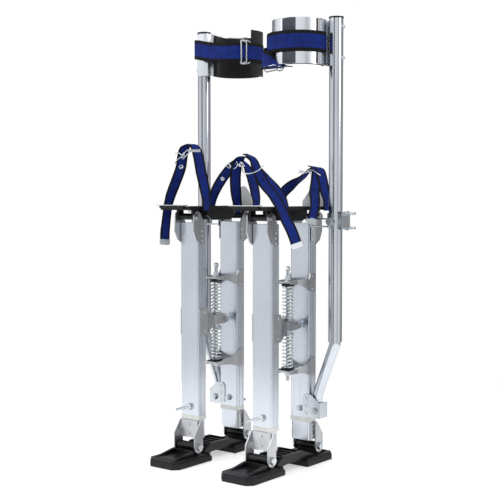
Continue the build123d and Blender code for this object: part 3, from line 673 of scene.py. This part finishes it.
def calf_strap_end():
    """Loose end of the left calf strap: it turns under the band, with a slide near its end."""
    body = "left_leg_tube"
    spots = ((-58, 16, 960, (0, 0, 1)), (-60, -2, 956, (0.1, 0.1, 1)), (-50, -20, 950, (0, 0.15, 1)),
             (-34, -30, 943, (0, 0.4, 0.9)), (-14, -34, 935, (0, 0.8, 0.55)), (8, -30, 930, (0, 1, 0.25)),
             (30, -22, 929, (0, 1, 0.05)))
    stations = [(at(LEFT, u, y, z), Vector(wide)) for u, y, z, wide in spots]
    cloth_strip("left_calf_strap_end", stations, CALF_END_WIDTH, CALF_THICK, body, "hung",
                ["left_calf_webbing"])
    along, across = Vector((1, 0, 0.1)), Vector((0, 0.5, -0.5))
    for label, spot, size in (("slide", (-16, -36, 926), (34, 20, 4)), ("ring", (8, -34, 924), (14, 16, 5))):
        centre = at(LEFT, *spot)
        loop = [centre + along * x * MM + across * y * MM for x, y in rounded_loop(*size)]
        wire(f"left_loose_{label}", loop, 1.6 * MM, "zinc", body, closed=True)


def rounded_loop(width, height, corner, steps=5):
    """Rounded rectangle as (x, y) points in millimetres."""
    points = []
    for cx, cy, start in ((1, 1, 0), (-1, 1, 90), (-1, -1, 180), (1, -1, 270)):
        for k in range(steps + 1):
            turn = radians(start + 90 * k / steps)
            points.append((cx * (width / 2 - corner) + corner * cos(turn),
                           cy * (height / 2 - corner) + corner * sin(turn)))
    return points


def slide_buckle(side, angle, radius, z):
    """Wire slide buckle standing on the strap: a narrow rounded loop with a bent clip at each end."""
    name = f"{NAME[side]}_slide"
    centre = ring(side, angle, radius, z)
    along = (ring(side, angle + 1, radius, z) - ring(side, angle - 1, radius, z)).normalized()
    up = Vector((0, 0, 1))
    loop = [centre + along * x * MM + up * y * MM for x, y in rounded_loop(13, 56, 3)]
    wire(f"{name}_loop", loop, 0.0019, "zinc", f"{NAME[side]}_leg_tube", closed=True)
    for tag, end in (("upper", 1), ("lower", -1)):
        bends = ((-16, 24), (-9, 28), (-2, 25), (4, 29), (9, 25))
        clip = [centre + along * x * MM + up * end * rise * MM for x, rise in bends]
        wire(f"{name}_clip_{tag}", smooth_line(clip, 6), 0.0014, "zinc", f"{NAME[side]}_leg_tube")


def acorn_bolt(side, z, label):
    """Acorn nut and washer on the outer side of the leg tube."""
    body = f"{NAME[side]}_leg_tube"
    leg = LEG_AXIS[side]
    out = Vector((side, 0, 0))
    seat = Vector((leg.x, leg.y, z * MM)) + out * (LEG_R - 0.0002)
    washer = [(5.6, -0.6), (5.6, 0.9), (5.2, 1.2)]
    lathe(f"{NAME[side]}_washer_{label}", [(r * MM, h * MM) for r, h in washer], seat, out, "zinc", body)
    flats = [(4.6 * cos(radians(60 * k)), 4.6 * sin(radians(60 * k))) for k in range(6)]
    sheet_metal(f"{NAME[side]}_nut_{label}", flats, seat + out * 1.1 * MM, (0, 1, 0), (0, 0, side),
                3.4 * MM, "zinc", body)
    dome = [(4.0 * cos(radians(a)), 4.4 + 3.6 * sin(radians(a))) for a in (0, 15, 30, 45, 60, 75, 86)]
    lathe(f"{NAME[side]}_acorn_{label}", [(r * MM, h * MM) for r, h in dome], seat, out, "zinc", body, sides=28)


def tube_cap(side):
    """Black cap pressed in the top of the leg tube."""
    leg = LEG_AXIS[side]
    profile = [(16.9, -2.2), (17.3, -1.8), (17.3, 0.6), (16.6, 1.6), (14.0, 2.1), (4.0, 2.4)]
    lathe(f"{NAME[side]}_tube_cap", [(r * MM, h * MM) for r, h in profile],
          (leg.x, leg.y, LEG_TOP), (0, 0, 1), "black_plastic", f"{NAME[side]}_leg_tube", sides=56)


STRIP_EDGE = 0.4


def band_strip(name, side, start, end, z0, z1, r0, r1, slot, body, steps=24):
    """Curved strip on the band's face, with eased edges."""
    rows = [(z0, r0), (z0 + STRIP_EDGE, r1), (z1 - STRIP_EDGE, r1), (z1, r0)]
    points, faces = [], []
    for i in range(steps + 1):
        angle = start + (end - start) * i / steps
        for z, radius in rows:
            points.append(ring(side, angle, radius, z))
    size = len(rows)
    for i in range(steps):
        for k in range(size):
            n = (k + 1) % size
            faces.append((i * size + k, i * size + n, (i + 1) * size + n, (i + 1) * size + k))
    faces.append(tuple(range(size))[::-1])
    faces.append(tuple(range(steps * size, (steps + 1) * size)))
    return build(name, points, faces, slot, body, smooth=False)


# ---------------------------------------------------------------- foot straps
def eyelet(name, centre, axis, body):
    """Pressed metal eyelet through the webbing."""
    profile = [(5.4, 0), (5.4, 0.6), (4.7, 1.2), (3.4, 1.1), (2.6, 0.2)]
    lathe(name, [(r * MM, h * MM) for r, h in profile], centre, axis, "zinc", body, sides=28)


# Routes: outward, back and up in millimetres, and the direction of the width in degrees from +X.
TOE_STRAP = {
    RIGHT: ((51.5, -119, 521, 70), (51.5, -117, 553, 72), (50.5, -111.5, 593, 78), (49.5, -107, 617, 76),
            (47, -100, 640, 62), (39.9, -94, 664, 50), (25, -91, 700, 45), (19.5, -90, 729, 50),
            (12, -90, 748, 68), (-4, -90, 757, 90), (-18, -88, 750, 72), (-26.5, -86, 728, 52),
            (-33, -84, 693, 48), (-42, -82, 654, 58), (-47.5, -82, 627, 80), (-48.5, -84, 601, 88)),
    LEFT: ((-48.5, -110, 597, 88), (-48.5, -115, 614, 82), (-50, -120, 640, 60), (-48, -125, 668, 52),
           (-44, -128, 692, 52), (-38, -128.5, 710, 60), (-26, -127, 722, 85), (-10.7, -122, 719, 100),
           (4, -113, 701, 95), (21.6, -100, 674, 80), (36.7, -86, 650, 70), (45, -74, 630, 74),
           (49, -68.5, 609, 84), (48.5, -67, 592, 88)),
}
HEEL_STRAP = {
    RIGHT: ((48.5, 51, 597, 90), (48.5, 53, 614, 86), (47, 58, 636, 70), (41, 68, 660, 55),
            (30, 81, 686, 50), (16, 92, 708, 58), (0, 100, 722, 80), (-13, 107, 716, 95),
            (-24, 112, 696, 70), (-33, 115, 670, 55), (-41, 114, 645, 58), (-48, 111, 622, 80),
            (-48.5, 109, 600, 90)),
    LEFT: ((-48.5, 40, 597, 90), (-48.5, 42, 618, 84), (-48, 62, 645, 75), (-42, 92, 664, 80),
           (-30, 112, 680, 90), (-18, 121, 695, 95), (-2, 124.5, 703, 90), (16, 119, 697, 65),
           (30, 110, 674, 58), (40, 102, 650, 60), (48, 100, 625, 82), (48.5, 100, 600, 90)),
}
LOOSE_TAILS = {
    RIGHT: (),
    LEFT: (((-14, -133, 728, 95), (3, -129, 718, 88), (12, -121, 691, 66), (24, -110, 660, 50),
            (44, -104, 636, 58), (55, -92, 608, 74), (54, -71, 583, 60), (54, -47, 553, 48),
            (54, -27, 520, 45)),
           ((-8, 118, 705.5, 90), (8, 112, 699, 78), (20, 96, 672, 60), (31, 74, 643, 50),
            (51, 48, 622, 66), (56, 35, 599, 72), (55, 25, 574, 55))),
}


def route(side, steps):
    """Stations of a foot strap."""
    return [(at(side, u, y, z), Vector((cos(radians(turn)), sin(radians(turn)), 0)))
            for u, y, z, turn in steps]


def crimped_tip(name, side, steps, at_end, body):
    """Folded sheet metal tip on a strap's end."""
    last, before = (steps[-1], steps[-2]) if at_end else (steps[0], steps[1])
    end, inner = at(side, *last[:3]), at(side, *before[:3])
    down = (end - inner).normalized()
    wide = Vector((cos(radians(last[3])), sin(radians(last[3])), 0))
    wide = (wide - down * wide.dot(down)).normalized()
    normal = wide.cross(down)
    outline = [(-13.2, -11), (13.2, -11), (13.2, 1), (9, 3.5), (-9, 3.5), (-13.2, 1)]
    sheet_metal(name, outline, end - normal * 0.002, wide, down, 0.004, "zinc", body, 0.0008)


# Clips and eyelets stand off the webbing in this one direction, which faces the main view.
TOWARD_EYE = Vector((0.62, -0.78, 0.05))
FOOT_WIDTH = 25.5 * MM
FOOT_THICK = 2.1 * MM
# Wire clips of the foot straps: radius and lift off the webbing, then points outward, back and up.
CLIPS = {
    RIGHT: {
        "toe_clip_a": (1.3, 4, ((40, -95, 712), (28, -96, 722), (14, -96, 730), (4, -94, 741),
                                (-4, -94, 744), (-6, -94, 738), (4, -96, 728), (12, -96, 722))),
        "toe_clip_b": (1.3, 4, ((37, -95, 735), (27, -96, 737), (16, -96, 732), (8, -96, 737),
                                (10, -96, 728), (18, -96, 724))),
    },
    LEFT: {
        "toe_clip_a": (1.2, 4, ((-80, -118, 703), (-66, -124, 698), (-54, -128, 704), (-40, -130, 706),
                                (-30, -132, 701), (-22, -132, 707), (-14, -132, 700))),
        "toe_clip_b": (1.3, 7, ((-70, -122, 709), (-60, -126, 700), (-46, -130, 696), (-34, -132, 704),
                                (-24, -132, 699), (-20, -132, 688), (-6, -130, 684), (14, -124, 690),
                                (26, -118, 702))),
        "toe_clip_c": (1.3, 6, ((-40, -131, 712), (-32, -132, 704), (-26, -132, 710), (-18, -132, 703),
                                (-24, -132, 696))),
        "heel_clip_a": (1.3, 8, ((-40, 108, 690), (-28, 108, 694), (-16, 106, 690), (-4, 104, 696),
                                 (10, 100, 694), (24, 94, 688), (36, 92, 682))),
        "heel_clip_b": (1.3, 9, ((-36, 108, 696), (-26, 108, 688), (-14, 106, 694), (-2, 104, 688))),
    },
}


def bent_wire(name, side, spots, radius, body, lift):
    """Bent wire through points standing off the webbing's front."""
    line = smooth_line([at(side, *spot) + TOWARD_EYE * lift * MM for spot in spots], 8)
    wire(name, line, radius, "zinc", body, sides=8)


def strap_fittings(side):
    """Wire clips, their plates and the eyelets of the foot straps."""
    name, body = NAME[side], f"{NAME[side]}_platform"
    flat, up = Vector((0.78, 0.62, 0)), Vector((0, 0, 1))
    if side == RIGHT:
        eyelet(f"{name}_toe_eyelet", at(side, 23.5, -90.5, 704) + TOWARD_EYE * 1.2 * MM, TOWARD_EYE, body)
        eyelet(f"{name}_heel_eyelet", at(side, 33.5, 77, 677) + TOWARD_EYE * 1.2 * MM, TOWARD_EYE, body)
    for label, (radius, lift, spots) in CLIPS[side].items():
        bent_wire(f"{name}_{label}", side, spots, radius * MM, body, lift)
    if side == RIGHT:
        plate = [(-15, -3.2), (15, -3.2), (15, 3.2), (-15, 3.2)]
        centre = at(side, -19, -92, 741) + TOWARD_EYE * 3 * MM
        sheet_metal(f"{name}_toe_clip_plate", plate, centre, flat, up, 1.6 * MM, "bracket_steel", body)


def foot_straps(side):
    """Toe and heel webbing, their tails and crimped tips."""
    name, body = NAME[side], f"{NAME[side]}_platform"
    cloth_strip(f"{name}_toe_webbing", route(side, TOE_STRAP[side]), FOOT_WIDTH, FOOT_THICK, body, "stretched",
                [f"{name}_deck"], [f"{name}_straps"], ripple=0.0003)
    cloth_strip(f"{name}_heel_webbing", route(side, HEEL_STRAP[side]), FOOT_WIDTH, FOOT_THICK, body, "stretched",
                [f"{name}_deck"], ripple=0.0003)
    for label, steps in zip(("toe", "heel"), LOOSE_TAILS[side]):
        cloth_strip(f"{name}_{label}_tail", route(side, steps), FOOT_WIDTH, FOOT_THICK, body, "hung",
                    [f"{name}_{label}_webbing"], ripple=0.0004)
        crimped_tip(f"{name}_{label}_tip", side, steps, True, body)
    if side == RIGHT:
        crimped_tip(f"{name}_toe_tip", side, TOE_STRAP[side], False, body)
    strap_fittings(side)


def deck_trim(side):
    """Steel toe bar, and the flat strip riveted to the rear strut's top."""
    name = NAME[side]
    bar = [(-45, -4.5), (45, -4.5), (45, 4.5), (-45, 4.5)]
    sheet_metal(f"{name}_toe_bar", bar, at(side, 0, -150, DECK_Z / MM + 2.2), (1, 0, 0), (0, 1, 0), 0.002,
                "bracket_steel", f"{name}_platform", 0.0006)
    strip = [(-9, -22), (9, -22), (9, 20), (6, 22), (-9, 22)]
    seat = at(side, 30.6, 70, 550)
    sheet_metal(f"{name}_rear_strip", strip, seat, (0, 1, 0), (0, 0, side), 1.4 * MM, "band_sheet",
                f"{name}_rear_upper")
    for label, z in (("upper", 562), ("lower", 538)):
        eyelet(f"{name}_strip_rivet_{label}", at(side, 32, 68, z), (side, 0, 0), f"{name}_rear_upper")


# ---------------------------------------------------------------- the pair
def stilt(side):
    """Every remodelled and added piece of one stilt."""
    for which, fixed_z, moving_z in SPRINGS:
        spring(side, which, fixed_z, moving_z)
    for label, z, up in SEATS:
        seat_cup(side, label, z, up)
    calf_pad(side)
    calf_strap(side)
    tube_cap(side)
    for label, z in (("high", 1022), ("low", 952)):
        acorn_bolt(side, z, label)
    foot_straps(side)
    deck_trim(side)


camera()
studio()
floor()
dress_cad()
for stilt_side in (RIGHT, LEFT):
    stilt(stilt_side)
slide_buckle(RIGHT, 218, BAND_OUT + 4.5, CALF_STRAP_Z)
band_strip("left_hook_tape", LEFT, 62, 92, 936.5, 1039.5, BAND_OUT - 0.2, BAND_OUT + 0.6, "hook_tape",
           "left_leg_tube")
band_strip("left_band_slit", LEFT, 12, 17, 937, 1039, BAND_OUT - 0.2, BAND_OUT + 0.3, "black_plastic",
           "left_leg_tube", steps=6)
# Black foam strip over the right band's outer face from 126 to 200 degrees, making the band black there; the
# cause of that black is not known.
band_strip("right_band_black_strip", RIGHT, 126, 200, 934, 1043, BAND_OUT + 0.1, BAND_OUT + 1.2, "foam",
           "right_leg_tube")
calf_strap_end()
